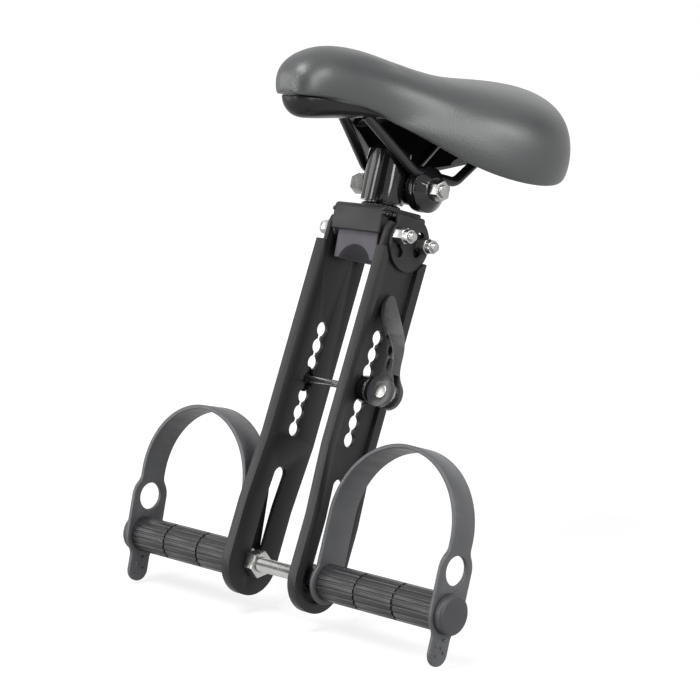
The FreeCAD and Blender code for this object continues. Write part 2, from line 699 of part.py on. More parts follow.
def make_skewer(legs):
    far = "-%s - joint_gap - adjuster_height - 2" % WEB_OUTER
    stem = rod("skewer_stem", "x", "skewer_radius", "%s - (%s)" % (PIN_X, far), (far, "0", "-skewer_drop"))
    eye = rod("skewer_eye", "y", "eye_radius", "eye_width", (PIN_X, "-eye_width / 2", "-skewer_drop"))
    hole = rod("eye_hole", "y", "pin_radius", "eye_width + 2", (PIN_X, "-eye_width / 2 - 1", "-skewer_drop"))
    node(cut("skewer", fuse("skewer_blank", [stem, eye]), [hole]), "skewer", legs)
    pin_length = "hub_width + pin_proud * 2"
    pin = rod("pin", "y", "pin_radius", pin_length, (PIN_X, "-hub_width / 2 - pin_proud", "-skewer_drop"))
    node(group("pin_piece", [pin]), "barrel_pin", legs)
    washer = rod(
        "washer_blank", "x", "cam_washer_radius", "cam_washer_height", (WEB_OUTER, "0", "-skewer_drop")
    )
    bore = rod(
        "washer_bore", "x", "skewer_radius + 0.2", "cam_washer_height + 2",
        (WEB_OUTER + " - 1", "0", "-skewer_drop"),
    )
    node(cut("washer", washer, [bore]), "cam_washer", legs)
    crown = taper(
        "adjuster_cone", "x", "adjuster_radius * 0.75", "adjuster_radius", "adjuster_height",
        ("-%s - joint_gap - adjuster_height" % WEB_OUTER, "0", "-skewer_drop"),
    )
    thread = rod(
        "adjuster_thread", "x", "skewer_radius + pin_clearance", "adjuster_height + 2",
        ("-%s - joint_gap - adjuster_height - 1" % WEB_OUTER, "0", "-skewer_drop"),
    )
    grips = []
    for index in range(6):
        angle = "%d" % (index * 60)
        grips.append(
            rod(
                "adjuster_grip%d" % index, "x", "adjuster_radius / 6", "adjuster_height * 0.7",
                (
                    "-%s - joint_gap - adjuster_height * 0.7" % WEB_OUTER,
                    "adjuster_radius * 1.05 * cos(%s)" % angle,
                    "-skewer_drop + adjuster_radius * 1.05 * sin(%s)" % angle,
                ),
            )
        )
    node(cut("adjuster", crown, [thread] + grips), "adjusting_nut", legs)


# Side view of the lever's arm: offset from the pin and share of the reach
LEVER_BACK = [(-6.2, 0.12), (-5.7, 0.28), (-5.9, 0.42), (-9.2, 0.6), (-18.2, 0.83), (-20.4, 1.0)]
LEVER_FACE = [(6.3, 0.12), (3.6, 0.22), (0.8, 0.43), (-5.0, 0.6), (-14.8, 0.83), (-18.2, 1.0)]
# Holes through the arm: share of the reach, width and height
LEVER_HOLES = [(0.285, 5.4, 8.6), (0.42, 4.2, 6.6), (0.545, 2.8, 4.0)]


def lever_face_at(share):
    """Offset of the arm's outer face from the pin at a share of the reach."""
    for (low, start), (high, end) in zip(LEVER_FACE, LEVER_FACE[1:]):
        if start <= share <= end:
            return low + (high - low) * (share - start) / (end - start)
    raise ValueError("no face at %s" % share)


def oval_hole(name, wide, tall, at):
    """Oval tool along Y, taller than it is wide."""
    ring = doc.addObject("Part::Ellipse", name + "_ring")
    ring.MajorRadius = tall / 2
    ring.MinorRadius = wide / 2
    ring.Placement = FreeCAD.Placement(at, FreeCAD.Rotation(FreeCAD.Vector(1, 1, 1), -120))
    tool = doc.addObject("Part::Extrusion", name)
    tool.Base = ring
    tool.DirMode = "Custom"
    tool.Dir = FreeCAD.Vector(0, 1, 0)
    tool.Solid = True
    return bind(tool, LengthFwd="paddle_width * 2")


def make_lever(legs):
    """Fork with two round cheeks and a pierced arm that leans in to a thumb paddle."""
    drop = size("skewer_drop")
    pin = (
        size("leg_gap") / 2 + size("web") + size("cam_washer_height")
        + size("cam_gap") + size("hub_radius") + size("cam_throw")
    )
    reach = size("lever_reach")
    wide = size("paddle_width")
    half = wide / 2
    arm_half = size("lever_width") / 2

    def side(point):
        return FreeCAD.Vector(pin + point[0], -wide, -drop + reach * point[1])

    def curve(points):
        line = Part.BSplineCurve()
        line.interpolate(points)
        return line.toShape()

    back = [side(point) for point in LEVER_BACK]
    face = [side(point) for point in reversed(LEVER_FACE)]
    edges = [
        curve(back),
        Part.LineSegment(back[-1], face[0]).toShape(),
        curve(face),
        Part.LineSegment(face[-1], back[0]).toShape(),
    ]
    arm = Part.Face(Part.Wire(edges)).extrude(FreeCAD.Vector(0, wide * 2, 0))

    # Front view of the arm: parallel, then a rounded paddle
    start = LEVER_BACK[0][1]
    spread = size("hub_radius") * 3

    def front(y, share):
        return FreeCAD.Vector(pin - spread, y, -drop + reach * share)

    outline = [
        front(-arm_half, start), front(-arm_half, 0.45), front(-half, 0.8), front(0, 1),
        front(half, 0.8), front(arm_half, 0.45), front(arm_half, start),
    ]
    foot = Part.LineSegment(outline[-1], outline[0]).toShape()
    plan = Part.Face(Part.Wire([curve(outline), foot])).extrude(FreeCAD.Vector(spread * 2, 0, 0))
    blade = solid("lever_blade", arm.common(plan))

    hub = rod(
        "lever_hub", "y", "hub_radius", "hub_width",
        (PIN_X + " - cam_throw", "-hub_width / 2", "-skewer_drop"),
    )
    slot = block(
        "lever_slot", ("hub_radius * 3", "hub_slot", "hub_radius * 3.2"),
        (PIN_X + " - hub_radius * 1.5", "-hub_slot / 2", "-skewer_drop - hub_radius * 2"),
    )
    bore = rod(
        "lever_bore", "y", "pin_radius + pin_clearance", "hub_width + 2",
        (PIN_X, "-hub_width / 2 - 1", "-skewer_drop"),
    )
    holes = []
    for index, (share, hole_wide, hole_tall) in enumerate(LEVER_HOLES):
        inward = lever_face_at(share) - size("lever_wall") * (1 - share / 2)
        place = FreeCAD.Vector(pin + inward, -wide, -drop + reach * share)
        holes.append(oval_hole("lever_hole%d" % index, hole_wide, hole_tall, place))
    lever = cut("lever", fuse("lever_blank", [hub, blade]), [slot, bore] + holes)
    node(lever, "quick_release_lever", legs)


# Foot rest: threaded axle, nuts, pegs, straps and caps

JAM_FACE = "(%s + joint_gap + jam_nut_height)" % FOOT_OUTER
PEG_START = "(%s + seat_gap * 2 + strap_thick)" % JAM_FACE
PEG_END = "(%s + peg_length)" % PEG_START
CAP_FACE = "(%s + seat_gap * 2 + strap_thick)" % PEG_END


def make_axle(legs):
    end = "(%s + cap_height / 2)" % CAP_FACE
    bar = rod(
        "axle_rod", "x", "axle_radius", "2 * %s - far_inset" % end,
        ("far_inset - " + end, "0", "-axle_drop"),
    )
    node(group("axle", [bar]), "foot_axle", legs)
    inner = hexagon(
        "inner_hex", "axle_nut_flats", "axle_nut_height",
        (FOOT_INNER + " - joint_gap - axle_nut_height", "0", "-axle_drop"),
    )
    inner_hole = rod(
        "inner_thread", "x", "axle_radius", "axle_nut_height + 2",
        (FOOT_INNER + " - joint_gap - axle_nut_height - 1", "0", "-axle_drop"),
    )
    pair(cut("inner_nut", inner, [inner_hole]), "axle_nut", legs)
    low = "(jam_nut_height - far_inset)"
    left_start = FOOT_OUTER + " + joint_gap"
    right_start = "-%s - joint_gap - %s" % (FOOT_OUTER, low)
    for side, height, start in (("left", "jam_nut_height", left_start), ("right", low, right_start)):
        jam = hexagon("jam_hex_" + side, "axle_nut_flats", height, (start, "0", "-axle_drop"))
        jam_hole = rod(
            "jam_thread_" + side, "x", "axle_radius", height + " + 2", (start + " - 1", "0", "-axle_drop")
        )
        node(cut("jam_" + side, jam, [jam_hole]), "jam_nut_" + side, legs)


def make_pegs(legs):
    barrel = rod("peg_barrel", "x", "peg_radius", "peg_length", (PEG_START, "0", "-axle_drop"))
    bore = rod("peg_bore", "x", "axle_radius", "peg_length + 2", (PEG_START + " - 1", "0", "-axle_drop"))
    tools = [bore]
    for index in (1, 2):
        start = "%s + peg_length * %d / 3 - peg_groove / 2" % (PEG_START, index)
        ring = rod("groove_ring%d" % index, "x", "peg_radius + 1", "peg_groove", (start, "0", "-axle_drop"))
        core = rod(
            "groove_core%d" % index, "x", "peg_radius - groove_depth", "peg_groove + 2",
            (start + " - 1", "0", "-axle_drop"),
        )
        tools.append(cut("groove%d" % index, ring, [core]))
    count = int(size("flute_count"))
    for index in range(count):
        angle = "%g" % (360.0 * index / count)
        ring_radius = "(peg_radius + flute_radius - flute_depth)"
        place = (
            PEG_START + " - 1",
            "%s * cos(%s)" % (ring_radius, angle),
            "-axle_drop + %s * sin(%s)" % (ring_radius, angle),
        )
        tools.append(rod("flute%d" % index, "x", "flute_radius", "peg_length + 2", place))
    pair_inset(cut("peg", barrel, tools), "foot_peg", legs)

    rim = rod("cap_rim", "x", "cap_radius", "cap_height - cap_bevel", (CAP_FACE, "0", "-axle_drop"))
    bevel = taper(
        "cap_bevelled", "x", "cap_radius", "cap_radius - cap_bevel", "cap_bevel",
        (CAP_FACE + " + cap_height - cap_bevel", "0", "-axle_drop"),
    )
    spigot = rod(
        "cap_spigot", "x", "strap_hole_radius - seat_gap * 2", "strap_thick + seat_gap * 2",
        (PEG_END, "0", "-axle_drop"),
    )
    socket = rod(
        "cap_socket", "x", "axle_radius", "strap_thick + seat_gap * 2 + cap_height / 2 + 1",
        (PEG_END + " - 1", "0", "-axle_drop"),
    )
    pair_inset(cut("cap", fuse("cap_blank", [rim, bevel, spigot]), [socket]), "peg_cap", legs)


def strap_arch():
    """Flat band bent over the foot: two uprights and a round crown, narrower outside."""
    inner = size("leg_gap") / 2 + size("joggle") + size("web") + size("joint_gap") + size("jam_nut_height")
    inner += size("seat_gap") + size("strap_thick") / 2
    outer = inner + size("peg_length") + 2 * size("seat_gap") + size("strap_thick")
    foot = -size("axle_drop")
    half = size("strap_thick") / 2
    top = foot + size("strap_rise") - half
    shoulder = top - (outer - inner) / 2

    def at(x, z):
        return FreeCAD.Vector(x, 0, z)

    path = Part.Wire(
        [
            Part.LineSegment(at(inner, foot), at(inner, shoulder)).toShape(),
            Part.Arc(at(inner, shoulder), at((inner + outer) / 2, top), at(outer, shoulder)).toShape(),
            Part.LineSegment(at(outer, shoulder), at(outer, foot)).toShape(),
        ]
    )

    def section(x, wide, within):
        corners = [
            FreeCAD.Vector(x + within * side * half, edge * wide / 2, foot)
            for side, edge in ((-1, -1), (1, -1), (1, 1), (-1, 1))
        ]
        return Part.makePolygon(corners + corners[:1])

    sections = [section(inner, size("strap_width"), 1), section(outer, size("strap_narrow"), -1)]
    return path.makePipeShell(sections, True, False)


def make_straps(legs):
    arch = solid("strap_arch", strap_arch())
    inside = "(%s + seat_gap)" % JAM_FACE
    outside = "(%s + seat_gap)" % PEG_END
    inner_end = rod("strap_inner_end", "x", "eyelet_radius", "strap_thick", (inside, "0", "-axle_drop"))
    outer_end = rod("strap_outer_end", "x", "eyelet_radius", "strap_thick", (outside, "0", "-axle_drop"))
    spare_end = rod(
        "strap_spare_end", "x", "eyelet_radius", "strap_thick",
        (outside, "0", "-axle_drop + strap_hole_pitch"),
    )
    bridge = block(
        "strap_bridge", ("strap_thick", "eyelet_radius * 2", "strap_hole_pitch"),
        (outside, "-eyelet_radius", "-axle_drop"),
    )
    tail = block(
        "strap_tail", ("strap_thick", "tail_radius * 2", "tail_drop"),
        (outside, "-tail_radius", "-axle_drop - tail_drop"),
    )
    tail_end = rod(
        "strap_tail_end", "x", "tail_radius", "strap_thick", (outside, "0", "-axle_drop - tail_drop")
    )
    inner_hole = rod(
        "strap_inner_hole", "x", "axle_radius", "strap_thick + 2", (inside + " - 1", "0", "-axle_drop")
    )
    cap_hole = rod(
        "strap_cap_hole", "x", "strap_hole_radius", "strap_thick + 2", (outside + " - 1", "0", "-axle_drop")
    )
    spare_hole = rod(
        "strap_spare_hole", "x", "strap_hole_radius", "strap_thick + 2",
        (outside + " - 1", "0", "-axle_drop + strap_hole_pitch"),
    )
    blank = fuse("strap_blank", [arch, inner_end, outer_end, spare_end, bridge, tail, tail_end])

    def flare(edge, middle):
        across = is_close(edge.Length, size("strap_thick"))
        reach = abs(middle.y)
        above = middle.z > -size("axle_drop") - size("tail_drop") + 1
        return across and above and size("tail_radius") - 1 < reach < size("eyelet_radius") - 1

    smooth = rounded("strap_smooth", blank, flare, size("flare_radius"))
    pivot = FreeCAD.Vector(0, 0, -size("axle_drop"))
    lean = FreeCAD.Rotation(FreeCAD.Vector(1, 0, 0), size("strap_lean"))
    leaning = legs.multiply(FreeCAD.Placement(pivot - lean.multVec(pivot), lean))
    strap = cut("strap", smooth, [inner_hole, cap_hole, spare_hole])
    pair_inset(strap, "foot_strap", leaning, size("far_lean"))


# Saddle: padded cover, plastic base and two bent rails

# Sections from nose to tail: share of the length, share of the half width,
# top and rim over the saddle's level, and how far the hollow rises over the rim
SECTIONS = [
    (0.004, 0.12, 82.0, 72.0, 2.0),
    (0.03, 0.23, 91.0, 68.0, 2.5),
    (0.08, 0.29, 97.0, 64.0, 3.0),
    (0.16, 0.32, 98.5, 59.0, 3.0),
    (0.26, 0.34, 94.5, 53.0, 4.0),
    (0.34, 0.40, 88.5, 45.0, 9.0),
    (0.42, 0.52, 82.5, 33.0, 22.0),
    (0.50, 0.68, 77.0, 19.0, 33.0),
    (0.58, 0.84, 73.5, 8.0, 41.0),
    (0.67, 0.96, 71.5, 0.5, 46.0),
    (0.76, 1.00, 70.0, -3.5, 48.0),
    (0.85, 0.94, 67.0, -4.0, 45.0),
    (0.92, 0.79, 61.0, 0.0, 37.0),
    (0.97, 0.56, 51.0, 6.0, 24.0),
    (0.997, 0.22, 37.0, 15.0, 9.0),
]


def arc_points(half, rise, base, y, tuck=0.0, count=9):
    """Points of a full, slightly square arch, which may turn in towards its rims."""
    points = []
    low = math.sin(tuck)
    for index in range(count):
        angle = (math.pi + 2 * tuck) * index / (count - 1) - tuck
        across = math.cos(angle)
        up = math.sin(angle)
        x = -half * math.copysign(abs(across) ** 0.85, across)
        z = base + rise * (math.copysign(abs(up) ** 0.9, up) + low ** 0.9) / (1 + low ** 0.9)
        points.append(FreeCAD.Vector(x, y, z))
    return points


def ribbon(upper, lower):
    """Closed section between an upper and a lower line that share their ends."""
    top = Part.BSplineCurve()
    top.interpolate(upper)
    bottom = Part.BSplineCurve()
    bottom.interpolate(list(reversed(lower)))
    return Part.Wire([top.toShape(), bottom.toShape()])


def make_saddle(head):
    cover_sections = []
    base_sections = []
    gap = size("cover_gap")
    for along, share, top, rim, hollow in SECTIONS:
        y = size("saddle_nose") + along * size("saddle_length")
        base = size("saddle_level") + rim
        height = top - rim
        upper = arc_points(share * size("saddle_width") / 2, height, base, y, math.radians(size("rim_tuck")))
        half = upper[-1].x
        rise = max(min(hollow, height - size("foam") * min(1.0, height / 40)), height * 0.1)
        cover_sections.append(ribbon(upper, arc_points(half, rise, base, y)))
        # The base is a tub under the nose and a thin shell under the tail
        inset = half - size("shell") * 0.8
        under = rise - gap - size("shell") * 0.3
        tub = max(0.0, 1 - along / 0.34)
        drop = under - size("shell") - tub * size("tub_depth")
        base_sections.append(ribbon(arc_points(inset, under, base, y), arc_points(inset, drop, base, y)))
    cover = Part.makeLoft(cover_sections, True, False)
    shell = Part.makeLoft(base_sections, True, False)
    node(solid("cover_padding", cover), "saddle_cover", FreeCAD.Placement())
    rails = make_rails(head)
    base_piece = cut("base", solid("base_shell", shell), rails)
    node(base_piece, "saddle_base", FreeCAD.Placement())


def bent_wire(points, radius, thickness):
    """Round bar along straight runs joined by tangent arcs."""
    edges = []
    last = points[0]
    for before, corner, after in zip(points, points[1:], points[2:]):
        back = (before - corner).normalize()
        ahead = (after - corner).normalize()
        half = back.getAngle(ahead) / 2
        reach = radius / math.tan(half)
        start = corner + back * reach
        end = corner + ahead * reach
        toward = (back + ahead).normalize()
        crest = corner + toward * (radius / math.sin(half) - radius)
        edges.append(Part.LineSegment(last, start).toShape())
        edges.append(Part.Arc(start, crest, end).toShape())
        last = end
    edges.append(Part.LineSegment(last, points[-1]).toShape())
    path = Part.Wire(edges)
    ring = Part.Wire(Part.Circle(points[0], points[1] - points[0], thickness).toShape())
    return path.makePipeShell([ring], True, False)


def make_rails(head):
    """Each rail drops from the nose, runs level through the clamp and rises to the tail."""
    level = size("yoke_base") + 2 * size("plate") + size("clamp_lift") + size("rail_lift")
    gap = size("rail_half_gap")
    points = [
        FreeCAD.Vector(gap * 0.5, size("rail_front"), level + size("rail_front_rise")),
        FreeCAD.Vector(gap, size("rail_run_start"), level),
        FreeCAD.Vector(gap, size("rail_run_end"), level),
        FreeCAD.Vector(gap * 1.18, size("rail_rear"), level + size("rail_rear_rise")),
    ]
    bar = solid("rail_bar", bent_wire(points, size("rail_bend"), size("rail_radius")))
    node(bar, "saddle_rail_left", head)
    right = mirrored("rail_mirror", bar)
    right.Label = "saddle_rail_right"
    nodes.append(right)
    return [bar, right]


def check_and_write():
    doc.recompute()
    for piece in doc.Objects:
        if "Invalid" in piece.State or "Error" in piece.State:
            raise RuntimeError("%s failed to build: %s" % (piece.Name, piece.State))
    os.makedirs("parts", exist_ok=True)
    for piece in nodes:
        if piece.Shape.isNull() or not piece.Shape.isValid():
            raise RuntimeError("%s has no valid shape" % piece.Label)
    for piece in nodes:
        piece.Shape.exportStep("parts/%s.step" % piece.Label)


def main():
    fill_sheet()
    head, legs = frames()
    make_cradle(head)
    make_yoke(head)
    make_cover_plate(head)
    make_post(head)
    make_band(head)
    make_rail_clamp(head)
    make_legs(legs)
    make_tilt_fasteners(legs)
    make_skewer(legs)
    make_lever(legs)
    make_axle(legs)
    make_pegs(legs)
    make_straps(legs)
    make_saddle(head)
    check_and_write()


main()
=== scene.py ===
import json
import math

import bmesh
import bpy
from mathutils import Matrix, Vector


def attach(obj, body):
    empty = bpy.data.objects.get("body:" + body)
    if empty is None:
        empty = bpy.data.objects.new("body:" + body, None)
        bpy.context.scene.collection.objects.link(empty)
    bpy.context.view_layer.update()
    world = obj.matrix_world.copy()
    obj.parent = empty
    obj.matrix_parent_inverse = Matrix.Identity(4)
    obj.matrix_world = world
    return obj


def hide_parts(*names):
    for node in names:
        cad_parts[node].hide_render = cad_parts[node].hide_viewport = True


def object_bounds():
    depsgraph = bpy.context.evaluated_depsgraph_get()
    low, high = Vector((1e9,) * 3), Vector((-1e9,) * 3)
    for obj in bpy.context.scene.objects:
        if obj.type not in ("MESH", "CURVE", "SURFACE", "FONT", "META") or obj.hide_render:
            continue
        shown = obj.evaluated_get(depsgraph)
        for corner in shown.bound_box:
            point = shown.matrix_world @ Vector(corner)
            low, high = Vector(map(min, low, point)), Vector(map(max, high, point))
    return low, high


bl_info = {
    "name": "Child Bike Seat",
    "version": (1, 0, 0),
    "blender": (4, 5, 0),
    "location": "View3D > Sidebar > Bike Seat",
    "description": "Dresses the solids of a child bike seat with padding, rubber, paint and studio light",
    "category": "Object",
}

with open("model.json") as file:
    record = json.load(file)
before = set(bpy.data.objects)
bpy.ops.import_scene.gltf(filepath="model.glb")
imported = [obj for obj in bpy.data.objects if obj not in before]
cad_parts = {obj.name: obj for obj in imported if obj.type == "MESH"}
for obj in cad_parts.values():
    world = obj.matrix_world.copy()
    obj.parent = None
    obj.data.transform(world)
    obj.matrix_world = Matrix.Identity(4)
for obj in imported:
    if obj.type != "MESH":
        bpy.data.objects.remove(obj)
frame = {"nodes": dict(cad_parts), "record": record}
CAD_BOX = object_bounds()
NODES = frame["nodes"]
RECORD = frame["record"]
SLOT_OF = {part["node"]: part["material_slot"] for part in RECORD["subparts"]}
BODY_OF = {node: body for body, nodes in RECORD["behaviour"]["bodies"].items() for node in nodes}
SIDES = ("left", "right")

# Slopes of the head and the legs, and the point in the head that the legs turn about
HEAD_TILT = math.radians(14.5)
LEG_TILT = math.radians(22.5)
PIVOT_HEIGHT = 0.0245
HEAD = Matrix.Rotation(-HEAD_TILT, 4, "X")
PIVOT = HEAD @ Vector((0, 0, PIVOT_HEIGHT))
LEGS = Matrix.Translation(PIVOT) @ Matrix.Rotation(-LEG_TILT, 4, "X")
# The skewer and the foot axle, below that point along the legs
SKEWER_DROP = 0.106
AXLE_DROP = 0.238


class SeatSizes(bpy.types.PropertyGroup):
    """Sizes that the solids leave to the looks."""

    plate_edge: bpy.props.FloatProperty(
        name="Plate Edge", description="Rounding of the folded plates' edges", default=0.001, unit="LENGTH"
    )
    rubber_edge: bpy.props.FloatProperty(
        name="Rubber Edge", description="Rounding of the rubber pieces' edges", default=0.0008, unit="LENGTH"
    )
    lever_edge: bpy.props.FloatProperty(
        name="Lever Edge", description="Rounding of the lever's edges", default=0.0013, unit="LENGTH"
    )
    fastener_edge: bpy.props.FloatProperty(
        name="Fastener Edge", description="Rounding of nuts and bolts", default=0.0004, unit="LENGTH"
    )
    vinyl_grain: bpy.props.FloatProperty(
        name="Vinyl Grain", description="Grains per metre on the saddle's cover", default=900.0
    )
    padding_swell: bpy.props.FloatProperty(
        name="Padding Swell", description="How far the padding may swell", default=0.002, unit="LENGTH"
    )
    floor_drop: bpy.props.FloatProperty(
        name="Floor Drop", description="Gap between the seat and the floor", default=0.002, unit="LENGTH"
    )


class SeatColours(bpy.types.PropertyGroup):
    """Colours of the seat's finishes."""

    vinyl: bpy.props.FloatVectorProperty(
        name="Vinyl", description="Saddle cover", default=(0.038, 0.04, 0.041), subtype="COLOR"
    )
    plastic: bpy.props.FloatVectorProperty(
        name="Plastic", description="Saddle base", default=(0.018, 0.018, 0.019), subtype="COLOR"
    )
    gloss: bpy.props.FloatVectorProperty(
        name="Gloss Paint", description="Post and clamp", default=(0.007, 0.007, 0.008), subtype="COLOR"
    )
    satin: bpy.props.FloatVectorProperty(
        name="Satin Paint", description="Legs and plates", default=(0.016, 0.016, 0.017), subtype="COLOR"
    )
    zinc: bpy.props.FloatVectorProperty(
        name="Zinc", description="Nuts, bolts and the axle", default=(0.4, 0.4, 0.39), subtype="COLOR"
    )
    cradle: bpy.props.FloatVectorProperty(
        name="Cradle", description="Rubber on the tube", default=(0.075, 0.069, 0.082), subtype="COLOR"
    )
    rubber: bpy.props.FloatVectorProperty(
        name="Rubber", description="Pegs and straps", default=(0.06, 0.061, 0.065), subtype="COLOR"
    )
    lever: bpy.props.FloatVectorProperty(
        name="Lever", description="Quick-release lever", default=(0.032, 0.032, 0.034), subtype="COLOR"
    )


def sizes():
    return bpy.context.scene.seat_sizes


def colours():
    return bpy.context.scene.seat_colours


def times(colour, factor):
    return tuple(channel * factor for channel in colour)


class Value:
    """A shader socket that takes part in sums."""

    def __init__(self, nodes, socket):
        self.nodes = nodes
        self.socket = socket

    def math(self, operation, other):
        return self.nodes.node("ShaderNodeMath", {"operation": operation}, {0: self, 1: other})

    def __add__(self, other):
        return self.math("ADD", other)

    def __radd__(self, other):
        return self.math("ADD", other)

    def __mul__(self, other):
        return self.math("MULTIPLY", other)

    def __rmul__(self, other):
        return self.math("MULTIPLY", other)


class Nodes:
    """The nodes of a material or of the sky."""

    def __init__(self, tree):
        self.tree = tree

    def node(self, kind, settings=None, inputs=None, output=0):
        made = self.tree.nodes.new(kind)
        for key, value in (settings or {}).items():
            setattr(made, key, value)
        for key, value in (inputs or {}).items():
            self.feed(made.inputs[key], value)
        return Value(self, made.outputs[output])

    def feed(self, socket, value):
        if isinstance(value, Value):
            self.tree.links.new(value.socket, socket)
        else:
            socket.default_value = value

    def ray(self, kind):
        """1 on light of one kind, such as what the camera sees, and 0 on the rest."""
        return self.node("ShaderNodeLightPath", output=kind)


# Sockets of a Mix node that mixes colours
MIX_MASK = 0
MIX_DARK = 6
MIX_LIGHT = 7
MIX_RESULT = 2


class Finish(Nodes):
    """One material, built from nodes."""

    def __init__(self, name):
        self.material = bpy.data.materials.new(name)
        self.material.use_nodes = True
        super().__init__(self.material.node_tree)
        self.shader = self.tree.nodes["Principled BSDF"]

    def set(self, **values):
        for name, value in values.items():
            self.feed(self.shader.inputs[name.replace("_", " ")], value)

    def place(self):
        return self.node("ShaderNodeTexCoord", output="Object")

    def noise(self, scale, detail=3.0):
        inputs = {"Vector": self.place(), "Scale": scale, "Detail": detail}
        return self.node("ShaderNodeTexNoise", None, inputs, "Fac")

    def cells(self, scale):
        inputs = {"Vector": self.place(), "Scale": scale}
        return self.node("ShaderNodeTexVoronoi", None, inputs, "Distance")

    def bands(self, scale):
        """Ridges that follow one another across the seat, as on its bolts."""
        settings = {"wave_type": "BANDS", "bands_direction": "X", "wave_profile": "TRI"}
        inputs = {"Vector": self.place(), "Scale": scale}
        return self.node("ShaderNodeTexWave", settings, inputs, "Fac")

    def shades(self, mask, dark, light):
        """A colour between two, by a mask."""
        inputs = {MIX_MASK: mask, MIX_DARK: (*dark, 1.0), MIX_LIGHT: (*light, 1.0)}
        return self.node("ShaderNodeMix", {"data_type": "RGBA"}, inputs, MIX_RESULT)

    def clouds(self, base, scale, dark, light, detail=3.0):
        """A base colour, darker and lighter in soft clouds."""
        return self.shades(self.noise(scale, detail), times(base, dark), times(base, light))

    def sheen(self, rough, scale, spread):
        """A roughness that varies a little over the piece."""
        return self.noise(scale) * spread + rough

    def bump(self, height, strength, distance):
        inputs = {"Height": height, "Strength": strength, "Distance": distance}
        return self.node("ShaderNodeBump", None, inputs)


def vinyl_finish(name, base, pores):
    """Soft vinyl with a cell grain and finer pores."""
    finish = Finish(name)
    grain = finish.cells(sizes().vinyl_grain) + finish.noise(scale=1600.0, detail=2.0) * pores
    finish.set(
        Base_Color=finish.clouds(base, scale=14.0, dark=0.85, light=1.2, detail=2.0),
        Roughness=finish.sheen(rough=0.36, scale=60.0, spread=0.08),
        Normal=finish.bump(grain, strength=0.2, distance=0.0004),
        Specular_IOR_Level=0.65,
    )
    return finish.material


def plastic_finish(name, base, rough, shine):
    """Moulded plastic, glossy or matt."""
    finish = Finish(name)
    finish.set(
        Base_Color=finish.clouds(base, scale=30.0, dark=0.8, light=1.3),
        Roughness=finish.sheen(rough, scale=120.0, spread=0.1),
        Normal=finish.bump(finish.noise(scale=500.0), strength=0.05, distance=0.0005),
        Specular_IOR_Level=shine,
    )
    return finish.material


def paint_finish(name, base, rough, peel, shine):
    """Paint or powder coat with a slight orange peel."""
    finish = Finish(name)
    finish.set(
        Base_Color=finish.clouds(base, scale=25.0, dark=0.85, light=1.2),
        Roughness=finish.sheen(rough, scale=90.0, spread=0.06),
        Normal=finish.bump(finish.noise(scale=700.0, detail=2.0), strength=peel, distance=0.0004),
        Specular_IOR_Level=shine,
    )
    return finish.material


def zinc_finish(name, base, thread, scratches, relief):
    """Bright plated steel. A thread is a fine ridge along the bolt."""
    finish = Finish(name)
    ridge = finish.bands(scale=310.0) * thread + finish.noise(scale=900.0) * scratches
    finish.set(
        Base_Color=finish.clouds(base, scale=180.0, dark=0.75, light=1.1),
        Roughness=finish.sheen(rough=0.2, scale=400.0, spread=0.18),
        Metallic=1.0,
        Normal=finish.bump(ridge, strength=relief, distance=0.0008),
    )
    return finish.material


def rubber_finish(name, base, rough, grain):
    """Moulded rubber with a fine grain."""
    finish = Finish(name)
    finish.set(
        Base_Color=finish.clouds(base, scale=40.0, dark=0.8, light=1.25),
        Roughness=finish.sheen(rough, scale=150.0, spread=0.12),
        Normal=finish.bump(finish.noise(scale=1100.0), strength=grain, distance=0.0005),
        Specular_IOR_Level=0.4,
    )
    return finish.material


# How much lighter or darker some finishes are than the colour that they share
# The shell under the saddle gets a darker plastic: painted shade for the shadow under the saddle
UNDERSIDE_PAINTED_SHADE = 0.3
BRIGHT_SHADE = 1.35
PEG_SHADE = 0.38
STRAP_SHADE = 1.1
CAP_SHADE = 0.6
FLAG_BLACK = (0.004, 0.004, 0.004)


def finish_recipes():
    """How each finish is made: its kind, its colour and its settings."""
    tint = colours()
    smooth_zinc = dict(thread=0.0, scratches=0.15, relief=0.15)
    threaded_zinc = dict(thread=1.0, scratches=0.15, relief=0.9)
    return {
        "flag": (rubber_finish, FLAG_BLACK, dict(rough=0.9, grain=0.0)),
        "saddle_vinyl": (vinyl_finish, tint.vinyl, dict(pores=0.5)),
        "base_plastic": (plastic_finish, tint.plastic, dict(rough=0.2, shine=0.15)),
        # The same plastic darkened as painted shade, for the shell in the shadow under the saddle
        "under_plastic_painted_shade": (plastic_finish, times(tint.plastic, UNDERSIDE_PAINTED_SHADE), dict(rough=0.75, shine=0.0)),
        "rail_black": (paint_finish, tint.gloss, dict(rough=0.25, peel=0.05, shine=0.35)),
        "gloss_black_metal": (paint_finish, tint.gloss, dict(rough=0.07, peel=0.04, shine=0.4)),
        "satin_black_metal": (paint_finish, tint.satin, dict(rough=0.38, peel=0.2, shine=0.24)),
        "lever_black": (paint_finish, tint.lever, dict(rough=0.26, peel=0.12, shine=0.5)),
        "zinc": (zinc_finish, tint.zinc, smooth_zinc),
        "bright_zinc": (zinc_finish, times(tint.zinc, BRIGHT_SHADE), smooth_zinc),
        "threads": (zinc_finish, tint.zinc, threaded_zinc),
        "cradle_rubber": (rubber_finish, tint.cradle, dict(rough=0.6, grain=0.2)),
        "peg_rubber": (rubber_finish, times(tint.rubber, PEG_SHADE), dict(rough=0.28, grain=0.3)),
        "strap_rubber": (rubber_finish, times(tint.rubber, STRAP_SHADE), dict(rough=0.36, grain=0.15)),
        "cap_rubber": (rubber_finish, times(tint.rubber, CAP_SHADE), dict(rough=0.45, grain=0.15)),
    }


FINISHES = {}


def finish_for(slot):
    """The material of a slot, made once."""
    if slot not in FINISHES:
        make, base, settings = finish_recipes()[slot]
        FINISHES[slot] = make(slot, base, **settings)
    return FINISHES[slot]


def add_object(name, data):
    """An object at the origin, shown in the scene."""
    made = bpy.data.objects.new(name, data)
    bpy.context.scene.collection.objects.link(made)
    return made


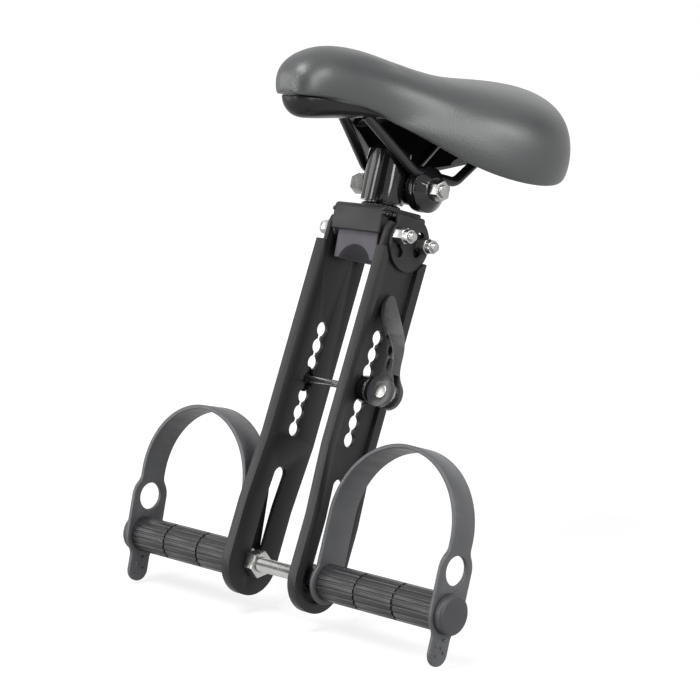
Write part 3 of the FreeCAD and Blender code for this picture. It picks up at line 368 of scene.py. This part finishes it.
def mesh_from(bm, name, material):
    """A mesh of one material, from a bmesh that is done."""
    mesh = bpy.data.meshes.new(name)
    bm.to_mesh(mesh)
    bm.free()
    mesh.materials.append(material)
    return mesh


def piece_from(bm, name, body, slot, finish=None, replaced=()):
    """Turn a bmesh into a piece that rides on a body."""
    mesh = mesh_from(bm, name, finish_for(finish or slot))
    mesh.shade_smooth()
    piece = add_object(name, mesh)
    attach(piece, body)
    if replaced:
        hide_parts(*replaced)
    return piece


def modify(piece, kind, **settings):
    modifier = piece.modifiers.new(kind.title(), kind)
    for key, value in settings.items():
        setattr(modifier, key, value)
    return modifier


# Points this close are one, faces this flat are one, and edges sharper than this are rounded
MERGE_DISTANCE = 0.000001
FLAT_ANGLE = math.radians(0.5)
EDGE_ANGLE = math.radians(32)


def solid_copy(node):
    """A node's solid as a clean bmesh with flat faces joined up."""
    bm = bmesh.new()
    bm.from_mesh(NODES[node].data)
    bmesh.ops.remove_doubles(bm, verts=bm.verts, dist=MERGE_DISTANCE)
    bmesh.ops.dissolve_limit(
        bm, angle_limit=FLAT_ANGLE, verts=bm.verts, edges=bm.edges, use_dissolve_boundaries=False
    )
    return bm


def softened(node, edge, finish=None, segments=2):
    """A node with its sharp edges rounded, so that they catch the light."""
    piece = piece_from(
        solid_copy(node), "dressed_" + node, BODY_OF[node], SLOT_OF[node], finish, (node,)
    )
    modify(
        piece, "BEVEL", width=edge, segments=segments, limit_method="ANGLE",
        angle_limit=EDGE_ANGLE, harden_normals=True, use_clamp_overlap=True,
    )


def plain(node):
    """A node whose own shape is right gets its finish."""
    solid = NODES[node]
    solid.data.materials.clear()
    solid.data.materials.append(finish_for(SLOT_OF[node]))


# Saddle sections from nose to tail: share of the length, half width, top, rim, hollow
SADDLE_NOSE = -0.081
SADDLE_LENGTH = 0.247
SADDLE = [
    (0.004, 0.0090, 0.1390, 0.1249, -0.003),
    (0.03, 0.0173, 0.1480, 0.1241, -0.001),
    (0.08, 0.0218, 0.1540, 0.1222, 0.003),
    (0.16, 0.0240, 0.1555, 0.1187, 0.003),
    (0.26, 0.0255, 0.1515, 0.1116, 0.004),
    (0.34, 0.0300, 0.1455, 0.1026, 0.009),
    (0.42, 0.0390, 0.1395, 0.0900, 0.026),
    (0.50, 0.0510, 0.1340, 0.0760, 0.037),
    (0.58, 0.0630, 0.1305, 0.0650, 0.045),
    (0.67, 0.0720, 0.1285, 0.0575, 0.050),
    (0.76, 0.0750, 0.1270, 0.0535, 0.052),
    (0.85, 0.0705, 0.1240, 0.0530, 0.049),
    (0.92, 0.0593, 0.1180, 0.0570, 0.041),
    (0.97, 0.0420, 0.1080, 0.0630, 0.028),
    (0.997, 0.0165, 0.0940, 0.0720, 0.010),
]
# Base sections from nose to tail: share of the length, half width, edge, arch above, tub or shell below
BASE = [
    (0.016, 0.0050, 0.1242, 0.0006, -0.0050),
    (0.026, 0.0100, 0.1240, 0.0010, -0.0105),
    (0.045, 0.0138, 0.1232, 0.0013, -0.0138),
    (0.08, 0.0170, 0.1220, 0.0020, -0.0140),
    (0.16, 0.0192, 0.1184, 0.0026, -0.0111),
    (0.26, 0.0206, 0.1114, 0.0030, -0.0050),
    (0.34, 0.0246, 0.1023, 0.0077, 0.0045),
    (0.42, 0.0315, 0.0912, 0.0207, 0.0150),
    (0.50, 0.0423, 0.0770, 0.0319, 0.0262),
    (0.58, 0.0531, 0.0660, 0.0399, 0.0342),
    (0.67, 0.0612, 0.0585, 0.0449, 0.0392),
    (0.76, 0.0639, 0.0545, 0.0469, 0.0412),
    (0.85, 0.0599, 0.0540, 0.0439, 0.0382),
    (0.92, 0.0497, 0.0580, 0.0359, 0.0302),
    (0.97, 0.0342, 0.0640, 0.0199, 0.0142),
    (0.997, 0.0113, 0.0730, 0.0077, 0.0020),
]
# The glossy tub is the base's first sections, and the matt shell starts a little before the tub ends
TUB_SECTIONS = 8
SHELL_OVERLAP = 2
# The cover turns in by this angle under its widest line
RIM_TUCK = math.radians(28)
# Roundness of the cover's dome, upwards and sideways: 1 is a plain arch, and less is squarer
DOME_LIFT = 0.9
DOME_SPREAD = 0.85
# The rim's width, its largest share of a narrow section, and how much higher its inner side is
RIM_WIDTH = 0.004
RIM_SHARE = 0.5
RIM_STEP = 0.0012
# Steps round the cover's dome, its hollow and the base
DOME_STEPS = 16
HOLLOW_STEPS = 8
BASE_STEPS = 16


def bulge(angle, power, turn):
    """One coordinate of a slightly square arch."""
    value = turn(angle)
    return math.copysign(abs(value) ** power, value)


def saddle_ring(share, half, top, rim, hollow):
    """Closed section: full dome outside, tucked rim, hollow underneath."""
    ring = []
    y = SADDLE_NOSE + share * SADDLE_LENGTH
    low = bulge(RIM_TUCK, DOME_LIFT, math.sin)
    for step in range(DOME_STEPS + 1):
        angle = (math.pi + 2 * RIM_TUCK) * step / DOME_STEPS - RIM_TUCK
        lift = (bulge(angle, DOME_LIFT, math.sin) + low) / (1 + low)
        across = -half * bulge(angle, DOME_SPREAD, math.cos)
        ring.append(Vector((across, y, rim + (top - rim) * lift)))
    edge = ring[-1].x
    inner = max(edge - RIM_WIDTH, edge * RIM_SHARE)
    for step in range(HOLLOW_STEPS + 1):
        angle = math.pi * (1 - step / HOLLOW_STEPS)
        height = rim + RIM_STEP + hollow * math.sin(angle)
        ring.append(Vector((-inner * math.cos(angle), y, height)))
    return ring


def base_ring(share, half, edge, arch, below):
    """Closed section: an arch on top, a tub or a thin shell below."""
    y = SADDLE_NOSE + share * SADDLE_LENGTH
    ring = []
    for step in range(BASE_STEPS):
        angle = math.tau * step / BASE_STEPS
        lift = arch if step < BASE_STEPS / 2 else -below
        ring.append(Vector((-half * math.cos(angle), y, edge + lift * math.sin(angle))))
    return ring


def ring_loft(rings):
    """Closed rings bridged one to the next, with both ends filled."""
    bm = bmesh.new()
    loops = []
    for ring in rings:
        made = bmesh.ops.create_circle(bm, segments=len(ring), radius=1.0)["verts"]
        for vert, spot in zip(made, ring):
            vert.co = spot
        loops.append(list({edge for vert in made for edge in vert.link_edges}))
    for first, second in zip(loops, loops[1:]):
        bmesh.ops.bridge_loops(bm, edges=first + second)
    for end in (loops[0], loops[-1]):
        bmesh.ops.holes_fill(bm, edges=end, sides=0)
    bmesh.ops.recalc_face_normals(bm, faces=bm.faces)
    return bm


def bake_modifiers(piece):
    """Apply what shapes a piece, so that nothing live is left on it."""
    shaped = piece.evaluated_get(bpy.context.evaluated_depsgraph_get())
    mesh = bpy.data.meshes.new_from_object(shaped)
    piece.modifiers.clear()
    piece.data = mesh
    mesh.shade_smooth()


def smoothed(piece, levels):
    """Round a piece off between its sections."""
    modify(piece, "SUBSURF", levels=levels, render_levels=levels)


# The padding's pressure under its cover, and the simulation's quality and frames
PADDING_PRESSURE = 4.0
CLOTH_QUALITY = 5
CLOTH_FRAMES = 20
# The cover is held up to the first distance from the nose, and free from the second on
HELD_TIP = 0.008
FREE_TIP = 0.03


def swell(piece, limit):
    """Blow the padding up a little under its cover, as foam does."""
    rest = [vert.co.copy() for vert in piece.data.vertices]
    cloth = modify(piece, "CLOTH")
    cloth.settings.use_pressure = True
    cloth.settings.uniform_pressure_force = PADDING_PRESSURE
    cloth.settings.effector_weights.gravity = 0.0
    cloth.settings.quality = CLOTH_QUALITY
    for number in range(1, CLOTH_FRAMES + 1):
        bpy.context.scene.frame_set(number)
    bake_modifiers(piece)
    for vert, start in zip(piece.data.vertices, rest):
        move = vert.co - start
        loose = (start.y - SADDLE_NOSE - HELD_TIP) / (FREE_TIP - HELD_TIP)
        reach = limit * min(1.0, max(0.0, loose))
        if move.length > reach:
            vert.co = start + move.normalized() * reach
    bpy.context.scene.frame_set(1)


def make_saddle_cover():
    bm = ring_loft([saddle_ring(*section) for section in SADDLE])
    piece = piece_from(bm, "saddle_padding", "saddle", "saddle_vinyl", None, ("saddle_cover",))
    smoothed(piece, levels=2)
    bake_modifiers(piece)
    swell(piece, sizes().padding_swell)
    smoothed(piece, levels=1)


def make_saddle_base():
    tub = ring_loft([base_ring(*section) for section in BASE[:TUB_SECTIONS]])
    under = ring_loft([base_ring(*section) for section in BASE[TUB_SECTIONS - SHELL_OVERLAP:]])
    front = piece_from(tub, "saddle_tub", "saddle", "base_plastic", None, ("saddle_base",))
    # The shell under the saddle takes the plastic darkened as painted shade
    rear = piece_from(under, "saddle_under", "saddle", "base_plastic", "under_plastic_painted_shade")
    for piece in (front, rear):
        smoothed(piece, levels=2)
        bake_modifiers(piece)


# Weld beads on the left side of the folded plates, in the head's frame
EDGE_BEADS = [
    (0.0229, -0.0208, 0.0394),
    (0.0229, -0.0172, 0.0392),
    (0.0231, -0.0138, 0.0393),
    (0.0264, -0.0134, 0.0391),
]
EDGE_BEAD_RADIUS = 0.0018
# Weld beads round the foot of the post
POST_BEADS = 22
POST_BEAD_RING = 0.0119
POST_BEAD_HEIGHT = 0.0452
POST_BEAD_RADIUS = 0.0021


def add_bead(bm, place, radius):
    """One lump of a weld or a moulded stud."""
    bmesh.ops.create_icosphere(bm, subdivisions=2, radius=radius, matrix=Matrix.Translation(place))


def make_edge_welds():
    bm = bmesh.new()
    for x, y, z in EDGE_BEADS:
        for side in (1, -1):
            add_bead(bm, HEAD @ Vector((side * x, y, z)), EDGE_BEAD_RADIUS)
    piece_from(bm, "edge_welds", "head", "satin_black_metal", "gloss_black_metal")


def make_post_weld():
    bm = bmesh.new()
    for index in range(POST_BEADS):
        angle = math.tau * index / POST_BEADS
        spot = Vector((math.cos(angle), math.sin(angle), 0)) * POST_BEAD_RING
        spot.z = POST_BEAD_HEIGHT
        add_bead(bm, HEAD @ spot, POST_BEAD_RADIUS)
    piece_from(bm, "post_bead", "head", "satin_black_metal", "gloss_black_metal", ("post_weld",))


# Foot axle: radius, ends, and the thread that shows between the legs
AXLE_RADIUS = 0.005
AXLE_ENDS = (-0.149, 0.154)
AXLE_STEPS = 28
THREAD_PITCH = 0.0016
THREAD_DEPTH = 0.0007
THREAD_REACH = 0.032
THREAD_CREASE = math.radians(30)


def axle_profile():
    """Half outline of the axle: place along it and radius."""
    points = [(AXLE_ENDS[0], 0.0), (AXLE_ENDS[0], AXLE_RADIUS)]
    for turn in range(round(2 * THREAD_REACH / THREAD_PITCH)):
        crest = turn * THREAD_PITCH - THREAD_REACH
        points.append((crest, AXLE_RADIUS))
        points.append((crest + THREAD_PITCH / 2, AXLE_RADIUS - THREAD_DEPTH))
    points += [(THREAD_REACH, AXLE_RADIUS), (AXLE_ENDS[1], AXLE_RADIUS), (AXLE_ENDS[1], 0.0)]
    return points


def make_axle():
    bm = bmesh.new()
    centre = LEGS @ Vector((0, 0, -AXLE_DROP))
    spots = [centre + Vector((along, 0, radius)) for along, radius in axle_profile()]
    tip = bmesh.ops.create_vert(bm, co=spots[0])["vert"][0]
    for spot in spots[1:]:
        tip = bmesh.ops.extrude_vert_indiv(bm, verts=[tip])["verts"][0]
        tip.co = spot
    bmesh.ops.spin(
        bm, geom=bm.verts[:] + bm.edges[:], cent=centre, axis=(1, 0, 0), angle=math.tau,
        steps=AXLE_STEPS, use_merge=True,
    )
    bmesh.ops.remove_doubles(bm, verts=bm.verts, dist=MERGE_DISTANCE)
    bmesh.ops.recalc_face_normals(bm, faces=bm.faces)
    piece = piece_from(bm, "axle_rod", "foot_rest", "zinc", "bright_zinc", ("foot_axle",))
    piece.data.set_sharp_from_angle(angle=THREAD_CREASE)


# Studs moulded on a strap's tail, across and along it from the foot axle
TAIL_STUDS = [
    (0.002, -0.017),
    (-0.0036, -0.0215),
    (0.0012, -0.0222),
    (0.0042, -0.025),
    (-0.0022, -0.0278),
]
STUD_RADIUS = 0.0011
# The straps' tails: inner and outer face, and lean from the leg
STRAP_TAILS = [
    (0.1477, 0.1507, math.radians(4.5)),
    (-0.1427, -0.1457, math.radians(9.0)),
]


def make_tail_studs():
    bm = bmesh.new()
    for inner, outer, lean in STRAP_TAILS:
        turn = Matrix.Translation((0, 0, -AXLE_DROP)) @ Matrix.Rotation(lean, 4, "X")
        for across, along in TAIL_STUDS:
            for face in (inner, outer):
                add_bead(bm, LEGS @ turn @ Vector((face, across, along)), STUD_RADIUS)
    piece_from(bm, "tail_studs", "foot_rest", "strap_rubber")


# The photograph's camera: bearing, dip, focal length in pixels, and where the skewer shows
BEARING = math.radians(44.292)
DIP = math.radians(9.681)
ROLL = math.radians(0.044)
SENSOR_WIDTH = 36.0
FOCAL_PIXELS = 2280.7
FRAME_PIXELS = 700.0
SKEWER_DISTANCE = 1.5635
SKEWER_PIXEL = (334.34, 383.73)


def add_camera():
    camera = add_object("camera", bpy.data.cameras.new("camera"))
    camera.data.sensor_width = SENSOR_WIDTH
    camera.data.lens = SENSOR_WIDTH * FOCAL_PIXELS / FRAME_PIXELS
    level = Vector((math.cos(BEARING), math.sin(BEARING), 0))
    back = Vector(
        (math.sin(BEARING) * math.cos(DIP), -math.cos(BEARING) * math.cos(DIP), math.sin(DIP))
    )
    right = Matrix.Rotation(ROLL, 3, back) @ level
    up = back.cross(right)
    skewer = LEGS @ Vector((0, 0, -SKEWER_DROP))
    across = (SKEWER_PIXEL[0] - FRAME_PIXELS / 2) / FOCAL_PIXELS * SKEWER_DISTANCE
    along = (FRAME_PIXELS / 2 - SKEWER_PIXEL[1]) / FOCAL_PIXELS * SKEWER_DISTANCE
    place = skewer + back * SKEWER_DISTANCE - right * across - up * along
    turn = Matrix((right, up, back)).transposed().to_4x4()
    camera.matrix_world = Matrix.Translation(place) @ turn
    bpy.context.scene.camera = camera


# Light that the sky gives where it isn't seen
SKY_LIGHT = 0.2


def add_sky():
    """White where it is seen or mirrored, and a softer light elsewhere."""
    world = bpy.data.worlds.new("studio")
    bpy.context.scene.world = world
    world.use_nodes = True
    sky = Nodes(world.node_tree)
    seen = sky.ray("Is Camera Ray")
    for kind in ("Is Glossy Ray", "Is Transmission Ray"):
        seen = seen.math("MAXIMUM", sky.ray(kind))
    background = world.node_tree.nodes["Background"]
    sky.feed(background.inputs["Color"], (1, 1, 1, 1))
    sky.feed(background.inputs["Strength"], seen * (1 - SKY_LIGHT) + SKY_LIGHT)


# The paper's half width and its own greys
PAPER_HALF = 6.0
PAPER_DARK = (0.3, 0.3, 0.3)
PAPER_LIGHT = (0.32, 0.32, 0.32)
# White of the paper near the seat, how it rises away from it, and its share in reflections
PAPER_GLOW = 0.68
PAPER_RISE = 0.2
PAPER_MIRROR = 0.85


def paper_finish():
    """Grey paper that is seen and mirrored as white."""
    paper = Finish("paper")
    mirrored = paper.ray("Is Glossy Ray") * PAPER_MIRROR
    shown = paper.ray("Is Camera Ray").math("MAXIMUM", mirrored)
    away = paper.node("ShaderNodeVectorMath", {"operation": "LENGTH"}, {0: paper.place()}, "Value")
    white = (away * PAPER_RISE + PAPER_GLOW).math("MINIMUM", 1.0)
    paper.set(
        Base_Color=paper.shades(paper.noise(scale=3.0), PAPER_DARK, PAPER_LIGHT),
        Roughness=1.0,
        Specular_IOR_Level=0.0,
        Emission_Color=paper.shades(white * shown, (0, 0, 0), (1, 1, 1)),
        Emission_Strength=1.0,
    )
    return paper.material


def add_floor():
    bm = bmesh.new()
    bmesh.ops.create_grid(bm, x_segments=1, y_segments=1, size=PAPER_HALF)
    height = CAD_BOX[0][2] - sizes().floor_drop
    bmesh.ops.translate(bm, vec=Vector((0, 0, height)), verts=bm.verts)
    floor = add_object("floor", mesh_from(bm, "floor", paper_finish()))


# Soft boxes: name, place, width, height, power
LAMPS = [
    ("side_strip", (1.62, -0.34, 0.28), 0.25, 1.15, 13.0),
    ("side_box", (1.5, 0.35, 0.75), 0.6, 0.6, 13.0),
    ("front_box", (0.05, -1.0, 1.6), 0.9, 0.9, 33.0),
    ("front_strip", (-0.4, -1.55, 0.35), 0.3, 1.15, 10.0),
    ("left_box", (-1.25, -1.1, 0.3), 0.9, 0.9, 9.0),
    ("back_box", (-0.5, 1.5, 0.95), 0.9, 0.9, 1.5),
]
# Black cards: name, place, width, height
FLAGS = [
    ("flag_front", (0.8, -1.5, 0.3), 1.0, 1.6),
    ("flag_right", (1.0, 1.0, 0.85), 1.2, 0.7),
]


def facing_seat(place, front):
    """Puts a lamp or a card at a place, with its front towards the seat."""
    aim = (-Vector(place)).to_track_quat(front, "Y")
    return Matrix.Translation(place) @ aim.to_matrix().to_4x4()


def add_lamp(name, place, width, height, power):
    """Soft box that faces the seat."""
    light = bpy.data.lights.new(name, "AREA")
    light.shape = "RECTANGLE"
    light.size = width
    light.size_y = height
    light.energy = power
    lamp = add_object(name, light)
    lamp.matrix_world = facing_seat(place, "-Z")


def add_flag(name, place, width, height):
    """Black card beside the set, which gives gloss paint its dark reflections."""
    bm = bmesh.new()
    bmesh.ops.create_grid(bm, x_segments=1, y_segments=1, size=1.0)
    spread = Matrix.Diagonal((width / 2, height / 2, 1, 1))
    bmesh.ops.transform(bm, matrix=facing_seat(place, "Z") @ spread, verts=bm.verts)
    card = add_object(name, mesh_from(bm, name, finish_for("flag")))
    card.visible_camera = False


class SEAT_OT_stage(bpy.types.Operator):
    """Set up the camera, the light and the floor"""

    bl_idname = "seat.stage"
    bl_label = "Stage"

    def execute(self, context):
        context.scene.view_settings.view_transform = "Standard"
        add_camera()
        add_floor()
        add_sky()
        for lamp in LAMPS:
            add_lamp(*lamp)
        for flag in FLAGS:
            add_flag(*flag)
        return {"FINISHED"}


class SEAT_OT_saddle(bpy.types.Operator):
    """Make the padded cover, the base and the rails"""

    bl_idname = "seat.saddle"
    bl_label = "Saddle"

    def execute(self, context):
        make_saddle_cover()
        make_saddle_base()
        for side in SIDES:
            plain("saddle_rail_" + side)
        return {"FINISHED"}


class SEAT_OT_clamp(bpy.types.Operator):
    """Dress the saddle clamp"""

    bl_idname = "seat.clamp"
    bl_label = "Saddle Clamp"

    def execute(self, context):
        softened("clamp_band", sizes().fastener_edge)
        for side in SIDES:
            softened("rail_disc_" + side, sizes().fastener_edge)
            softened("rail_cup_" + side, sizes().plate_edge)
        softened("clamp_bolt", sizes().fastener_edge, "threads")
        softened("clamp_nut", sizes().fastener_edge)
        return {"FINISHED"}


class SEAT_OT_head(bpy.types.Operator):
    """Dress the post, the folded plates and the cradle"""

    bl_idname = "seat.head"
    bl_label = "Head"

    def execute(self, context):
        softened("seat_post", sizes().fastener_edge)
        make_post_weld()
        make_edge_welds()
        softened("cover_plate", sizes().plate_edge)
        softened("yoke_bracket", sizes().plate_edge)
        softened("tube_cradle", sizes().rubber_edge)
        return {"FINISHED"}


class SEAT_OT_legs(bpy.types.Operator):
    """Dress the legs and the tilt bolts"""

    bl_idname = "seat.legs"
    bl_label = "Legs"

    def execute(self, context):
        for side in SIDES:
            softened("leg_" + side, sizes().plate_edge)
            softened("tilt_bolts_" + side, sizes().fastener_edge, "threads")
            softened("tilt_nuts_" + side, sizes().fastener_edge)
        return {"FINISHED"}


class SEAT_OT_quick_release(bpy.types.Operator):
    """Dress the skewer, its lever and its nut"""

    bl_idname = "seat.quick_release"
    bl_label = "Quick Release"

    def execute(self, context):
        softened("skewer", sizes().fastener_edge, "bright_zinc")
        softened("barrel_pin", sizes().fastener_edge)
        softened("cam_washer", sizes().plate_edge)
        softened("quick_release_lever", sizes().lever_edge, segments=3)
        softened("adjusting_nut", sizes().fastener_edge)
        return {"FINISHED"}


class SEAT_OT_foot_rest(bpy.types.Operator):
    """Dress the axle, the pegs and the straps"""

    bl_idname = "seat.foot_rest"
    bl_label = "Foot Rest"

    def execute(self, context):
        make_axle()
        for side in SIDES:
            softened("axle_nut_" + side, sizes().fastener_edge, "bright_zinc")
            softened("jam_nut_" + side, sizes().fastener_edge)
            softened("foot_peg_" + side, sizes().fastener_edge)
            softened("foot_strap_" + side, sizes().rubber_edge)
            softened("peg_cap_" + side, sizes().rubber_edge, "cap_rubber")
        make_tail_studs()
        return {"FINISHED"}


class SEAT_PT_pieces(bpy.types.Panel):
    """Lists the steps that make the seat"""

    bl_label = "Child Bike Seat"
    bl_idname = "SEAT_PT_pieces"
    bl_space_type = "VIEW_3D"
    bl_region_type = "UI"
    bl_category = "Bike Seat"

    def draw(self, context):
        for step in STEPS:
            self.layout.operator(step.bl_idname)


STEPS = (
    SEAT_OT_stage,
    SEAT_OT_saddle,
    SEAT_OT_clamp,
    SEAT_OT_head,
    SEAT_OT_legs,
    SEAT_OT_quick_release,
    SEAT_OT_foot_rest,
)
CLASSES = (SeatSizes, SeatColours, *STEPS, SEAT_PT_pieces)


def register():
    for each in CLASSES:
        bpy.utils.register_class(each)
    bpy.types.Scene.seat_sizes = bpy.props.PointerProperty(type=SeatSizes)
    bpy.types.Scene.seat_colours = bpy.props.PointerProperty(type=SeatColours)


def unregister():
    del bpy.types.Scene.seat_colours
    del bpy.types.Scene.seat_sizes
    for each in reversed(CLASSES):
        bpy.utils.unregister_class(each)


def main():
    register()
    bpy.ops.seat.stage()
    bpy.ops.seat.saddle()
    bpy.ops.seat.clamp()
    bpy.ops.seat.head()
    bpy.ops.seat.legs()
    bpy.ops.seat.quick_release()
    bpy.ops.seat.foot_rest()


if __name__ == "__main__":
    main()
